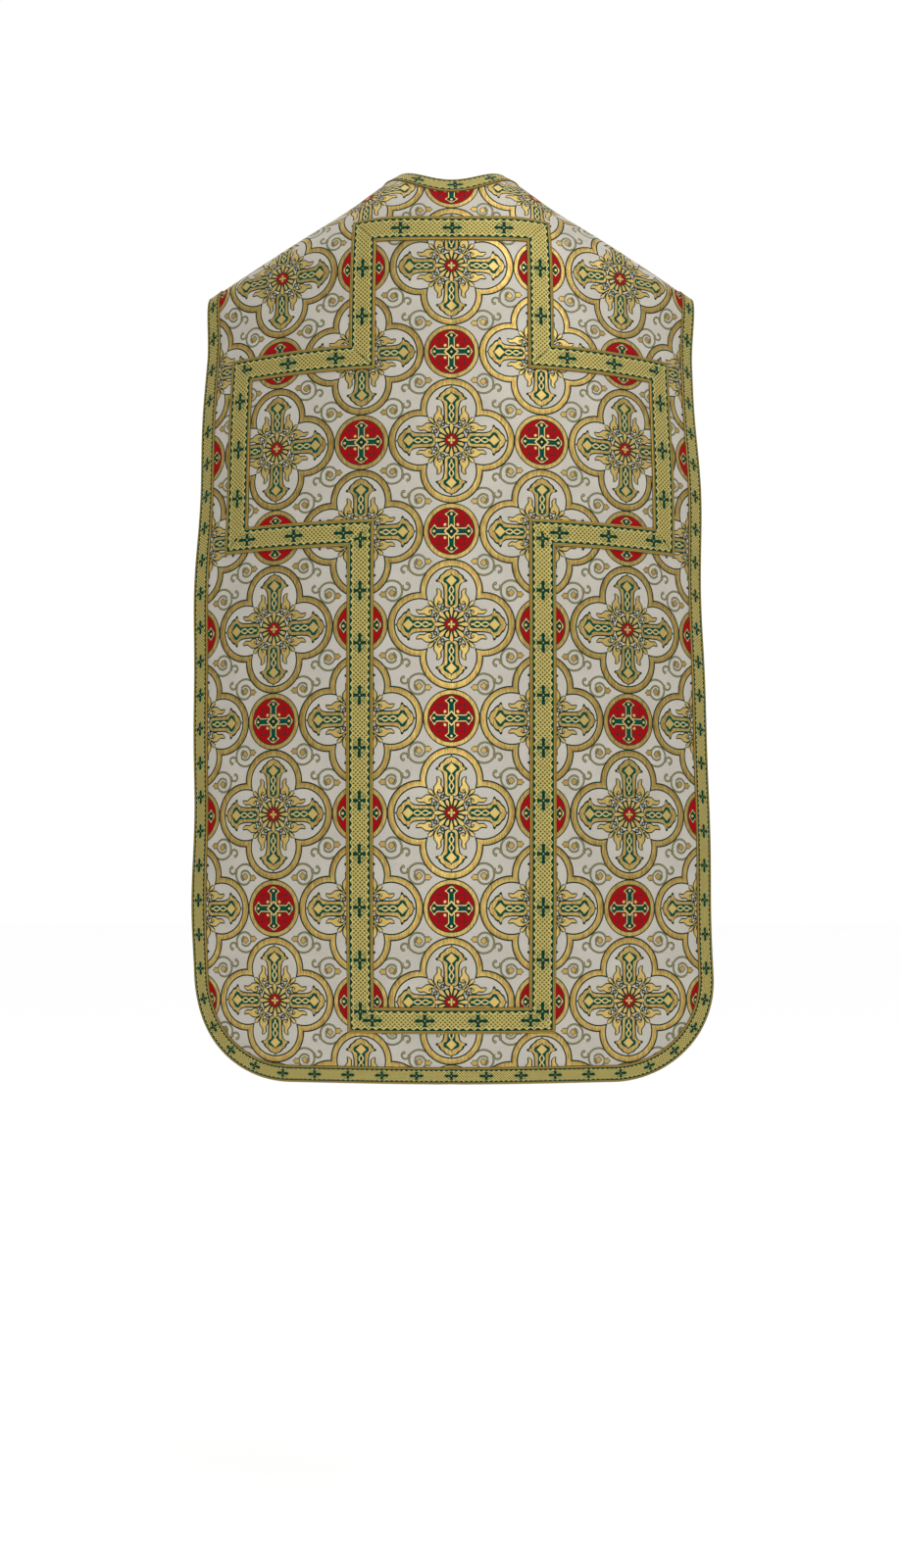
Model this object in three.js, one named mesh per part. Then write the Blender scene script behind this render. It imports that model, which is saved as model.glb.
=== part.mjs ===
// Roman chasuble in the form it takes when worn: a back and a front panel that meet at the
// shoulder seams and hang open at the sides, with woven braid sewn on over them.
// Millimetres, +Z up, the wearer's back toward -Y. The origin is on the neck's axis, level
// with the shoulder ends of the neckline.
//
// Each piece is cut flat, in pattern coordinates: u across from the centre line, v down.
// A panel's place(u, v) says where a point of the flat cloth lies on the worn garment.

import * as THREE from 'three';

// ---- Cloth ----
const PANEL_THICKNESS = 2;
const BRAID_THICKNESS = 1;
const GAP = 0.3;
const BRAID_LIFT = 0.5;

// ---- Pattern, flat: v = 0 is the brocade row at the top of the cross ----
const HALF_WIDTH = 345;
const NECK_HALF_WIDTH = 72;
const NECK_POINT_V = -174;
const SHOULDER_TIP_V = -14;
const SEAM_EASING = 60;
const BACK_NECK_V = -130;
const FRONT_NECK_V = -9;
const FRONT_NECK_EASING = 18;
const BACK_HEM_V = 1041;
const FRONT_HEM_V = 890;
const CORNER_RADIUS = 138;

// ---- Braid ----
const NARROW_BRAID = 22.5;
const WIDE_BRAID = 34;
const EDGE_INSET = 0.5;
const CROSS = {
  stem: 113,
  armEnd: 282,
  top: -51,
  armTop: 120,
  armBottom: 350,
  foot: 958,
};

// ---- How it hangs ----
// The shoulder seam, from the centre out: place, how far a thread leans out (out, per mm)
// and dips (pitch, degrees) where it leaves the seam toward the back.
const SHOULDER = [
  { u: 0, x: 0, y: -8, z: 15, out: 0, pitch: 26 },
  { u: 72, x: 70, y: 0, z: -5, out: 0.02, pitch: 12 },
  { u: 140, x: 128, y: 2, z: -46, out: 0.1, pitch: 4 },
  { u: 226, x: 209, y: 8, z: -96, out: 0.2, pitch: 0 },
  { u: 300, x: 278, y: 18, z: -138, out: 0.24, pitch: 0 },
  { u: 345, x: 313, y: 32, z: -157, out: 0.2, pitch: 6 },
];
// Level sections: where the centre line is, and the radius that each side curls with.
const BACK_SECTIONS = [
  { v: 0, y: -95, z: -146, left: 442, right: 428 },
  { v: 117, y: -119, z: -261, left: 500, right: 480 },
  { v: 234, y: -138, z: -376, left: 545, right: 505 },
  { v: 350, y: -153, z: -491, left: 570, right: 520 },
  { v: 467, y: -167, z: -608, left: 590, right: 532 },
  { v: 584, y: -174, z: -724, left: 602, right: 555 },
  { v: 701, y: -175, z: -840, left: 606, right: 592 },
  { v: 818, y: -168, z: -957, left: 618, right: 660 },
  { v: 934, y: -146, z: -1072, left: 640, right: 745 },
  { v: 1041, y: -124, z: -1176, left: 690, right: 800 },
];
const FRONT_SECTIONS = [
  { v: 0, y: 98, z: -128, left: 640, right: 640 },
  { v: 117, y: 122, z: -242, left: 580, right: 580 },
  { v: 250, y: 135, z: -374, left: 490, right: 490 },
  { v: 400, y: 140, z: -524, left: 460, right: 460 },
  { v: 600, y: 138, z: -724, left: 470, right: 470 },
  { v: 890, y: 130, z: -1014, left: 520, right: 520 },
];
// The front is hollowed at the sides to free the arms.
const FRONT_SIDES = [
  { v: -14, half: 345 },
  { v: 40, half: 334 },
  { v: 117, half: 298 },
  { v: 200, half: 269 },
  { v: 300, half: 257 },
  { v: 400, half: 256 },
  { v: 600, half: 272 },
  { v: 890, half: 318 },
];
const SIDE_DROP = 3;
const SIDE_DROP_U = 226;
const SIDE_DROP_FADE = 400;
const BEND_AT_CENTRE = 190;
const BEND_AT_TIP = 110;

// ---- Facets: pattern lines where the cloth is folded into flat triangles ----
const NECK_BRAID_END = NECK_HALF_WIDTH + 24;
const COLUMNS = [
  0, 24, 48, NECK_HALF_WIDTH, 84, NECK_BRAID_END, 130, 169, 207, 237, 265, 299,
  HALF_WIDTH - NARROW_BRAID, 335, 341, HALF_WIDTH,
];
const ROWS = [
  -156, -140, -124, -108, -94, -81, -68, -34, -18, -2, 14, 32, 52, 76, 103, 137, 200, 265, 333, 367,
  440, 520, 600, 680, FRONT_HEM_V - CORNER_RADIUS, 830, BACK_HEM_V - CORNER_RADIUS, 941, 975,
  1018,
];
const SLIVER = 2.5;

// ---- Colours ----
const COLOURS = {
  brocade: { color: 0xc9b98f, roughness: 0.5, metalness: 0.3 },
  wideBraid: { color: 0xa5965a, roughness: 0.55, metalness: 0.3 },
  narrowBraid: { color: 0x9c8f55, roughness: 0.55, metalness: 0.3 },
};

// A smooth curve through one named column of a table, against another.
function smooth(table, along, name) {
  const x = table.map((row) => row[along]);
  const y = table.map((row) => row[name]);
  const rise = x.slice(1).map((next, i) => (y[i + 1] - y[i]) / (next - x[i]));
  const slope = x.map((here, i) => {
    if (i === 0) return rise[0];
    if (i === x.length - 1) return rise[i - 1];
    const before = here - x[i - 1];
    const after = x[i + 1] - here;
    return (rise[i - 1] * after + rise[i] * before) / (before + after);
  });
  return (at) => {
    let i = 0;
    while (i < x.length - 2 && at > x[i + 1]) i += 1;
    const span = x[i + 1] - x[i];
    const t = (at - x[i]) / span;
    if (t < 0) return y[i] + slope[i] * (at - x[i]);
    if (t > 1) return y[i + 1] + slope[i + 1] * (at - x[i + 1]);
    const rest = 1 - t;
    return y[i] * (1 + 2 * t) * rest * rest + slope[i] * span * t * rest * rest
      + y[i + 1] * (3 - 2 * t) * t * t - slope[i + 1] * span * t * t * rest;
  };
}

// The same table with its rows repeated on the other side of the centre line.
function bothSides(table, odd) {
  const flip = (row) => {
    const twin = { ...row };
    for (const name of odd) twin[name] = -row[name];
    return twin;
  };
  return [...table.slice(1).map(flip).reverse(), ...table];
}

// ---- Outlines of the pattern ----
const easedWidth = (u, easing) => Math.hypot(u, easing) - easing;
const seamV = (u) => NECK_POINT_V + (SHOULDER_TIP_V - NECK_POINT_V)
  * (easedWidth(u, SEAM_EASING) - easedWidth(NECK_HALF_WIDTH, SEAM_EASING))
  / (easedWidth(HALF_WIDTH, SEAM_EASING) - easedWidth(NECK_HALF_WIDTH, SEAM_EASING));

const backNeckV = (u) => BACK_NECK_V + (NECK_POINT_V - BACK_NECK_V) * (u / NECK_HALF_WIDTH) ** 2;
const frontNeckV = (u) => FRONT_NECK_V + (NECK_POINT_V - FRONT_NECK_V)
  * easedWidth(u, FRONT_NECK_EASING) / easedWidth(NECK_HALF_WIDTH, FRONT_NECK_EASING);

// The lower outline of a braid that follows a neckline: the reach of a circle rolled along it.
function belowNeck(neckV, width) {
  const steps = 60;
  return (u) => {
    let lowest = -Infinity;
    for (let i = -steps; i <= steps; i += 1) {
      const across = (i / steps) * width;
      const at = u + across;
      if (Math.abs(at) > NECK_HALF_WIDTH) continue;
      lowest = Math.max(lowest, neckV(at) + Math.sqrt(width * width - across * across));
    }
    return lowest;
  };
}

// The hem: straight, with a round corner at each side. Inset moves it in on all sides.
const hemV = (hem, inset) => (u) => {
  const radius = CORNER_RADIUS - inset;
  const beyond = Math.max(Math.abs(u) - (HALF_WIDTH - CORNER_RADIUS), 0);
  return hem - CORNER_RADIUS + Math.sqrt(Math.max(radius * radius - beyond * beyond, 0));
};

// ---- The worn surface ----
const mirroredShoulder = bothSides(SHOULDER, ['u', 'x', 'out']);
const shoulder = {};
for (const name of ['x', 'y', 'z', 'out', 'pitch']) {
  shoulder[name] = smooth(mirroredShoulder, 'u', name);
}
const shoulderPoint = (u) => new THREE.Vector3(shoulder.x(u), shoulder.y(u), shoulder.z(u));
const seamDirection = (u) => shoulderPoint(u + 0.5).sub(shoulderPoint(u - 0.5)).normalize();

function backwardThread(u) {
  const out = shoulder.out(u);
  const pitch = THREE.MathUtils.degToRad(shoulder.pitch(u));
  const rest = Math.sqrt(1 - out * out);
  return new THREE.Vector3(out, -Math.cos(pitch) * rest, -Math.sin(pitch) * rest);
}

// The front leaves the seam in the same plane as the back, as its mirror image in the seam.
function forwardThread(u) {
  const back = backwardThread(u);
  const seam = seamDirection(u);
  return seam.multiplyScalar(2 * back.dot(seam)).sub(back);
}

// Where pattern point (u, v) lies: an arc in each level section and, above the join, a bend
// that starts on the shoulder seam.
function worn(sections, facing, thread) {
  const centre = {};
  for (const name of ['y', 'z', 'left', 'right']) centre[name] = smooth(sections, 'v', name);

  const hanging = (u, v) => {
    const radius = u < 0 ? centre.left(v) : centre.right(v);
    const drop = SIDE_DROP * (u / SIDE_DROP_U) ** 2 * Math.exp(-Math.max(v, 0) / SIDE_DROP_FADE);
    return new THREE.Vector3(
      radius * Math.sin(u / radius),
      centre.y(v) - facing * radius * (1 - Math.cos(u / radius)),
      centre.z(v) - drop,
    );
  };

  return (u, v) => {
    const start = seamV(u);
    const reach = easedWidth(u, SEAM_EASING) / easedWidth(HALF_WIDTH, SEAM_EASING);
    const bend = BEND_AT_CENTRE + (BEND_AT_TIP - BEND_AT_CENTRE) * reach;
    const join = start + bend;
    if (v >= join) return hanging(u, v);
    const t = (v - start) / bend;
    const fall = hanging(u, join + 1).sub(hanging(u, join - 1)).multiplyScalar(bend / 2);
    return shoulderPoint(u).multiplyScalar(2 * t ** 3 - 3 * t ** 2 + 1)
      .addScaledVector(thread(u), (t ** 3 - 2 * t ** 2 + t) * bend)
      .addScaledVector(hanging(u, join), 3 * t ** 2 - 2 * t ** 3)
      .addScaledVector(fall, t ** 3 - t ** 2);
  };
}

// The front's sides are hollowed: columns outside the middle are drawn in to meet them.
const frontHalf = smooth(FRONT_SIDES, 'v', 'half');
const MIDDLE = 130;
function frontCut(u, v) {
  const side = Math.abs(u);
  if (side <= MIDDLE) return u;
  const edge = HALF_WIDTH - NARROW_BRAID;
  const half = v > SHOULDER_TIP_V ? frontHalf(v) : HALF_WIDTH;
  const inner = half - NARROW_BRAID;
  const across = side <= edge
    ? MIDDLE + (side - MIDDLE) * (inner - MIDDLE) / (edge - MIDDLE)
    : inner + side - edge;
  return Math.sign(u) * across;
}

const BACK = {
  facing: -1,
  place: worn(BACK_SECTIONS, -1, backwardThread),
  cut: (u) => u,
  neckV: backNeckV,
  hem: BACK_HEM_V,
};
const FRONT = {
  facing: 1,
  place: worn(FRONT_SECTIONS, 1, forwardThread),
  cut: frontCut,
  neckV: frontNeckV,
  hem: FRONT_HEM_V,
};

// ---- Flat pieces as triangles ----
class Piece {
  constructor() {
    this.points = [];
    this.triangles = [];
    this.known = new Map();
  }

  point(u, v) {
    const key = `${u.toFixed(3)},${v.toFixed(3)}`;
    if (!this.known.has(key)) {
      this.known.set(key, this.points.length);
      this.points.push([u, v]);
    }
    return this.known.get(key);
  }

  // One column: its top, the pattern rows inside it, and its bottom.
  chain(u, top, bottom) {
    if (bottom - top < SLIVER / 10) return [{ v: top, at: this.point(u, top) }];
    const inside = ROWS.filter((v) => v > top + SLIVER && v < bottom - SLIVER);
    return [top, ...inside, bottom].map((v) => ({ v, at: this.point(u, v) }));
  }

  // Triangles between two neighbouring columns, laced from the top down.
  lace(left, right, rightFirst) {
    let i = 0;
    let j = 0;
    while (i < left.length - 1 || j < right.length - 1) {
      const nextLeft = i < left.length - 1 ? left[i + 1].v : Infinity;
      const nextRight = j < right.length - 1 ? right[j + 1].v : Infinity;
      const takeLeft = nextLeft === nextRight ? !rightFirst : nextLeft < nextRight;
      if (takeLeft) {
        this.triangles.push([left[i].at, left[i + 1].at, right[j].at]);
        i += 1;
      } else {
        this.triangles.push([left[i].at, right[j + 1].at, right[j].at]);
        j += 1;
      }
    }
  }

  // The area between two outlines, from one column to another.
  fill(from, to, top, bottom) {
    const lines = COLUMNS.flatMap((u) => [-u, u]).filter((u) => u > from + SLIVER && u < to - SLIVER);
    const columns = [...new Set([from, ...lines, to])].sort((a, b) => a - b);
    for (let i = 1; i < columns.length; i += 1) {
      const [a, b] = [columns[i - 1], columns[i]];
      this.lace(this.chain(a, top(a), bottom(a)), this.chain(b, top(b), bottom(b)), b <= 0);
    }
    return this;
  }

  // A closed wall over the piece, between two heights above the panel's inner face.
  solid(panel, low, high) {
    const step = 0.5;
    const position = [];
    for (const [column, v] of this.points) {
      const u = panel.cut(column, v);
      const along = panel.place(u + step, v).sub(panel.place(u - step, v));
      const down = panel.place(u, v + step).sub(panel.place(u, v - step));
      const outward = along.cross(down).normalize().multiplyScalar(panel.facing);
      for (const height of [low, high]) {
        const corner = panel.place(u, v).addScaledVector(outward, height);
        position.push(corner.x, corner.y, corner.z);
      }
    }
    const faces = [];
    const edges = new Map();
    for (const [a, b, c] of this.triangles) {
      faces.push([2 * a, 2 * c, 2 * b], [2 * a + 1, 2 * b + 1, 2 * c + 1]);
      for (const [p, q] of [[a, b], [b, c], [c, a]]) {
        if (edges.has(`${q},${p}`)) edges.delete(`${q},${p}`);
        else edges.set(`${p},${q}`, [p, q]);
      }
    }
    for (const [p, q] of edges.values()) {
      faces.push([2 * p, 2 * q, 2 * q + 1], [2 * p, 2 * q + 1, 2 * p + 1]);
    }
    if (panel.facing > 0) faces.forEach((face) => face.reverse());
    const geometry = new THREE.BufferGeometry();
    geometry.setAttribute('position', new THREE.Float32BufferAttribute(position, 3));
    geometry.setIndex(faces.flat());
    geometry.computeVertexNormals();
    return geometry;
  }
}

const chasuble = new THREE.Group();
chasuble.name = 'roman_chasuble';

function add(name, geometry, finish) {
  const mesh = new THREE.Mesh(geometry, new THREE.MeshStandardMaterial(COLOURS[finish]));
  mesh.name = name;
  chasuble.add(mesh);
}

const braidLow = PANEL_THICKNESS + BRAID_LIFT;
const braidHigh = braidLow + BRAID_THICKNESS;

// ---- Zones that the panels and the braids share, so that their facets lie parallel ----
const topV = (panel) => (u) => (
  Math.abs(u) < NECK_HALF_WIDTH ? panel.neckV(u) : seamV(u) + GAP / 2
);
function neckBandV(panel) {
  const above = topV(panel);
  const below = belowNeck(panel.neckV, NARROW_BRAID);
  return (u) => (Math.abs(u) < NECK_BRAID_END ? Math.max(above(u), below(u)) : above(u));
}
const fillNeckBand = (piece, panel) => piece.fill(
  -NECK_BRAID_END,
  NECK_BRAID_END,
  topV(panel),
  neckBandV(panel),
);
function fillEdgeBand(piece, panel, inset) {
  const outer = HALF_WIDTH - inset;
  const inner = HALF_WIDTH - NARROW_BRAID;
  const outerV = hemV(panel.hem, inset);
  piece.fill(-outer, -inner, topV(panel), outerV);
  piece.fill(-inner, inner, hemV(panel.hem, NARROW_BRAID), outerV);
  return piece.fill(inner, outer, topV(panel), outerV);
}

// ---- Panels ----
function addPanel(name, panel) {
  const piece = new Piece();
  const edge = HALF_WIDTH - NARROW_BRAID;
  fillNeckBand(piece, panel);
  piece.fill(-edge, edge, neckBandV(panel), hemV(panel.hem, NARROW_BRAID));
  fillEdgeBand(piece, panel, 0);
  add(name, piece.solid(panel, 0, PANEL_THICKNESS), 'brocade');
}
addPanel('back_panel', BACK);
addPanel('front_panel', FRONT);

// ---- Narrow braid: one length round each panel's sides and hem, one at each neckline ----
function addNarrowBraids(name, panel) {
  const edge = fillEdgeBand(new Piece(), panel, EDGE_INSET);
  add(`${name}_edge_braid`, edge.solid(panel, braidLow, braidHigh), 'narrowBraid');
  const neck = fillNeckBand(new Piece(), panel);
  add(`${name}_neck_braid`, neck.solid(panel, braidLow, braidHigh), 'narrowBraid');
}
addNarrowBraids('back', BACK);
addNarrowBraids('front', FRONT);

// ---- The back's cross, outlined in wide braid, mitred at its corners ----
const HALF_BRAID = WIDE_BRAID / 2;
const MITRE = GAP / 2;
const stem = { inner: CROSS.stem - HALF_BRAID, outer: CROSS.stem + HALF_BRAID };
const tip = { inner: CROSS.armEnd - HALF_BRAID, outer: CROSS.armEnd + HALF_BRAID };
const level = (v) => ({ above: v - HALF_BRAID, below: v + HALF_BRAID });
const top = level(CROSS.top);
const armTop = level(CROSS.armTop);
const armBottom = level(CROSS.armBottom);
const foot = level(CROSS.foot);

// An outline that runs level at v, with a mitre that slopes by `slope` beyond column `at`.
const mitre = (v, at, slope) => (u) => v + slope * Math.max(Math.abs(u) - at, 0);
// The same, with the mitre inside column `at`.
const innerMitre = (v, at, slope) => (u) => v + slope * Math.max(at - Math.abs(u), 0);

function addCrossPiece(name, from, to, above, below) {
  const piece = new Piece().fill(from, to, above, (u) => Math.max(above(u), below(u)));
  add(name, piece.solid(BACK, braidLow, braidHigh), 'wideBraid');
}

addCrossPiece(
  'cross_top',
  MITRE - stem.outer,
  stem.outer - MITRE,
  mitre(top.above, stem.outer, 0),
  mitre(top.below - MITRE, stem.inner, -1),
);
addCrossPiece(
  'cross_foot',
  MITRE - stem.outer,
  stem.outer - MITRE,
  mitre(foot.above + MITRE, stem.inner, 1),
  mitre(foot.below, stem.outer, 0),
);
for (const [side, sign] of [['left', -1], ['right', 1]]) {
  // On the left the columns run from the outer edge in.
  const span = (inner, outer) => (sign > 0 ? [inner, outer] : [-outer, -inner]);
  addCrossPiece(
    `cross_head_${side}`,
    ...span(stem.inner, stem.outer),
    mitre(top.below + MITRE, stem.inner, -1),
    mitre(armTop.below - MITRE, stem.inner, -1),
  );
  addCrossPiece(
    `cross_arm_top_${side}`,
    ...span(stem.inner + MITRE, tip.outer - MITRE),
    innerMitre(armTop.above + MITRE, stem.outer, 1),
    mitre(armTop.below - MITRE, tip.inner, -1),
  );
  addCrossPiece(
    `cross_arm_end_${side}`,
    ...span(tip.inner, tip.outer),
    mitre(armTop.below + MITRE, tip.inner, -1),
    mitre(armBottom.above - MITRE, tip.inner, 1),
  );
  addCrossPiece(
    `cross_arm_bottom_${side}`,
    ...span(stem.inner + MITRE, tip.outer - MITRE),
    mitre(armBottom.above + MITRE, tip.inner, 1),
    innerMitre(armBottom.below - MITRE, stem.outer, -1),
  );
  addCrossPiece(
    `cross_stem_${side}`,
    ...span(stem.inner, stem.outer),
    mitre(armBottom.above + MITRE, stem.inner, 1),
    mitre(foot.above - MITRE, stem.inner, 1),
  );
}

export default chasuble;
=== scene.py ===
import math

import bpy
import numpy as np
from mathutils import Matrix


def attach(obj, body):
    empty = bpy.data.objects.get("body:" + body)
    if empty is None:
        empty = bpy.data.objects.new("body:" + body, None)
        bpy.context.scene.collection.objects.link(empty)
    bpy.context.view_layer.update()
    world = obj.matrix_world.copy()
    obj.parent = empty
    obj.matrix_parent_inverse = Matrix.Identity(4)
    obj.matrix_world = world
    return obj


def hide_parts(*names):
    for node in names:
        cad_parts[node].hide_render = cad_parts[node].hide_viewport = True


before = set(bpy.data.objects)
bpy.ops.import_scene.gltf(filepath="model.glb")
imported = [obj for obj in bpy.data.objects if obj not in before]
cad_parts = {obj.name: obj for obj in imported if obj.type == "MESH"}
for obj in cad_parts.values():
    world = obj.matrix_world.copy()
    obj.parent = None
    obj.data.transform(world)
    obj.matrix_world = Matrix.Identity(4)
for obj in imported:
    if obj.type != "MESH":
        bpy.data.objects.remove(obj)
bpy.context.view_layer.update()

# ---- Back panel ----
# The chasuble's back, one piece of stiffened figured silk and metal brocade with straight
# sides and round hem corners. It is cut flat and hangs from the shoulder seams. Flat places
# are in millimetres: u across from the centre line, v down from a row of the brocade.
HALF_WIDTH = 345
CORNER_RADIUS = 138
NECK_HALF_WIDTH = 72
NECK_POINT_V = -174
SHOULDER_TIP_V = -14
SEAM_EASING = 60
SEAM_GAP = 0.15
BACK_NECK_V = -130
BACK_HEM_V = 1041
PANEL_THICKNESS = 2

# The length of cloth that bends from the shoulder seam to hanging, and how far the sides of
# a level line drop at this u, which fades down the cloth.
BEND_AT_CENTRE = 190
BEND_AT_TIP = 110
SIDE_DROP = 3
SIDE_DROP_U = 226
SIDE_DROP_FADE = 400

# Rows and columns of a panel's grid, and the bend in degrees past which an edge is sharp.
BACK_ROWS = 250
CORNER_COLUMNS = 36
STRAIGHT_COLUMNS = 84
SHARP_ANGLE = 50

# The shoulder seam: u, then x, y, z, how far a thread leans out, and its dip in degrees.
SHOULDER = np.array([
    [0, 0, -8, 15, 0, 26],
    [72, 70, 0, -5, 0.02, 12],
    [140, 128, 2, -46, 0.1, 4],
    [226, 209, 8, -96, 0.2, 0],
    [300, 278, 18, -138, 0.24, 0],
    [345, 313, 32, -157, 0.2, 6],
], float)
MIRROR = np.array([-1, -1, 1, 1, -1, 1])
SHOULDER = np.vstack([SHOULDER[:0:-1] * MIRROR, SHOULDER])

# Level sections: v, then the centre line's y and z, and the radius of the left and right side.
BACK_SECTIONS = np.array([
    [0, -95, -146, 442, 428],
    [117, -119, -261, 500, 480],
    [234, -138, -376, 545, 505],
    [350, -153, -491, 570, 520],
    [467, -167, -608, 590, 532],
    [584, -174, -724, 602, 555],
    [701, -175, -840, 606, 592],
    [818, -168, -957, 618, 660],
    [934, -146, -1072, 640, 745],
    [1041, -124, -1176, 690, 800],
], float)


def smooth(table, at):
    """A cubic through the table's rows, whose slope at a row is the mean of the slopes on its
    two sides, weighted by the other side's length. It runs straight on past both ends."""
    x, y = table[:, 0], table[:, 1:]
    step = np.diff(x)[:, None]
    rise = np.diff(y, axis=0) / step
    inner = (rise[:-1] * step[1:] + rise[1:] * step[:-1]) / (step[:-1] + step[1:])
    slope = np.vstack([rise[:1], inner, rise[-1:]])
    at = np.asarray(at, float)
    i = np.clip(np.searchsorted(x, at) - 1, 0, len(x) - 2)
    span = (x[i + 1] - x[i])[..., None]
    far = (at[..., None] - x[i][..., None]) / span
    t = np.clip(far, 0, 1)
    rest = 1 - t
    return (
        y[i] * (1 + 2 * t) * rest ** 2
        + slope[i] * span * t * rest ** 2
        + y[i + 1] * (3 - 2 * t) * t ** 2
        - slope[i + 1] * span * t ** 2 * rest
        + slope[i] * span * np.minimum(far, 0)
        + slope[i + 1] * span * np.maximum(far - 1, 0)
    )


def eased(u, easing=SEAM_EASING):
    """The distance from the centre line, rounded off near it: hypot(u, easing) - easing."""
    return np.hypot(u, easing) - easing


def seam_v(u):
    """The shoulder seam's v: straight against the eased width, from neck point to tip."""
    reach = eased(u) - eased(NECK_HALF_WIDTH)
    full = eased(HALF_WIDTH) - eased(NECK_HALF_WIDTH)
    return NECK_POINT_V + (SHOULDER_TIP_V - NECK_POINT_V) * reach / full


def back_neck_v(u):
    """The back neckline: a parabola from the nape up to the neck points."""
    return BACK_NECK_V + (NECK_POINT_V - BACK_NECK_V) * (u / NECK_HALF_WIDTH) ** 2


def unit(vectors):
    """Vectors divided by their length."""
    return vectors / np.linalg.norm(vectors, axis=-1, keepdims=True)


def thread_out(facing, u):
    """The direction of a thread that leaves the shoulder seam. Toward the back it leans out
    and dips; toward the front it is that direction mirrored in the seam."""
    lean, dip = np.moveaxis(smooth(SHOULDER, u)[..., 3:], -1, 0)
    dip = np.radians(dip)
    rest = np.sqrt(1 - lean ** 2)
    back = np.stack([lean, -np.cos(dip) * rest, -np.sin(dip) * rest], -1)
    if facing < 0:
        return back
    seam = unit(smooth(SHOULDER, u + 0.5)[..., :3] - smooth(SHOULDER, u - 0.5)[..., :3])
    return 2 * np.sum(back * seam, -1, keepdims=True) * seam - back


def hanging(panel, u, v):
    """Below the bend a level line of cloth is an arc of its section's radius, and its sides
    drop by the square of their distance from the centre line."""
    y, z, left, right = np.moveaxis(smooth(panel["sections"], v), -1, 0)
    radius = np.where(u < 0, left, right)
    drop = SIDE_DROP * (u / SIDE_DROP_U) ** 2 * np.exp(-np.maximum(v, 0) / SIDE_DROP_FADE)
    curl = radius * (1 - np.cos(u / radius))
    return np.stack([radius * np.sin(u / radius), y - panel["facing"] * curl, z - drop], -1)


def smooth_worn(panel, u, v):
    """Where a flat point lies: hanging, and above the join a cubic from the shoulder seam,
    whose ends follow the seam's thread and the hanging cloth."""
    u, v = np.broadcast_arrays(np.asarray(u, float), np.asarray(v, float))
    start = seam_v(u)
    bend = BEND_AT_CENTRE + (BEND_AT_TIP - BEND_AT_CENTRE) * eased(u) / eased(HALF_WIDTH)
    join = start + bend
    t = np.minimum((v - start) / bend, 1)[..., None]
    bend = bend[..., None]
    fall = (hanging(panel, u, join + 1) - hanging(panel, u, join - 1)) * bend / 2
    bent = (
        smooth(SHOULDER, u)[..., :3] * (2 * t ** 3 - 3 * t ** 2 + 1)
        + thread_out(panel["facing"], u) * bend * (t ** 3 - 2 * t ** 2 + t)
        + hanging(panel, u, join) * (3 * t ** 2 - 2 * t ** 3)
        + fall * (t ** 3 - t ** 2)
    )
    return np.where((v >= join)[..., None], hanging(panel, u, v), bent)


def outward(panel, place, u, v):
    """The outward normal: across times down, from points half a millimetre on each side."""
    across = place(panel, u + 0.5, v) - place(panel, u - 0.5, v)
    down = place(panel, u, v + 0.5) - place(panel, u, v - 0.5)
    return panel["facing"] * unit(np.cross(across, down))


def hump(x, width):
    """A soft ridge: exp(-(x / width) squared)."""
    return np.exp(-(x / width) ** 2)


# Soft creases of the back. Lengths are in millimetres, and shifts in radians.
BACK_CREASES = {
    # Depth, u, width, the v of its upper end, and how far that end fades.
    "fold": (0.9, 1, 7, -130, 120),
    # From this u outward the sides are slack, in waves: height, run, shift.
    "slack_from": 190,
    "left": [(2.2, 61, 0.6), (1.4, 33, 2.1)],
    "right": [(1.9, 54, 2.4), (1.5, 37, 0.4)],
    # Depth, u where v is 0, how far it leans out in each millimetre down, width, v, reach.
    "pulls": [(1.6, -196, -0.35, 26, 20, 90), (1.8, 186, 0.32, 24, 35, 95)],
    # Height, run and shift across, and the v and reach down.
    "hem_roll": (1.2, 58, 0.8, 1041, 160),
    # Height, run and shift across, run and shift down.
    "sways": [(1.0, 71, -0.7, 210, 0.3)],
}
SLACK_WIDTH = 150


def soft_creases(table, u, v):
    """How far the creases lift the cloth: a pressed fold down the middle, slack that grows
    toward the edges, short pulls below the shoulders, a rolling hem and a slow sway."""
    depth, place, width, top, fade = table["fold"]
    lift = -depth * hump(u - place, width) * (1 - hump(v - top, fade))
    waves = [
        sum(height * np.sin(v / run + shift) for height, run, shift in table[side])
        for side in ("left", "right")
    ]
    outside = np.clip((np.abs(u) - table["slack_from"]) / SLACK_WIDTH, 0, 1) ** 2
    lift = lift + outside * np.where(u < 0, *waves)
    for depth, place, lean, width, level, reach in table["pulls"]:
        lift = lift - depth * hump(u - place - lean * v, width) * hump(v - level, reach)
    height, run, shift, level, reach = table["hem_roll"]
    lift = lift + height * np.sin(u / run + shift) * hump(v - level, reach)
    for height, run, shift, down, start in table["sways"]:
        lift = lift + height * np.sin(u / run + shift) * np.sin(v / down + start)
    return lift


def worn(panel, u, v):
    """The smooth worn surface, moved along its normal by the panel's soft creases."""
    smooth_place = smooth_worn(panel, u, v)
    lift = soft_creases(panel["creases"], np.asarray(u, float), np.asarray(v, float))
    return smooth_place + outward(panel, smooth_worn, u, v) * lift[..., None]


def hem_v(hem, inset, u):
    """The hem, straight with a round corner at each side, moved in by the inset."""
    radius = CORNER_RADIUS - inset
    beyond = np.maximum(np.abs(u) - (HALF_WIDTH - CORNER_RADIUS), 0)
    return hem - CORNER_RADIUS + np.sqrt(np.maximum(radius ** 2 - beyond ** 2, 0))


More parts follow.
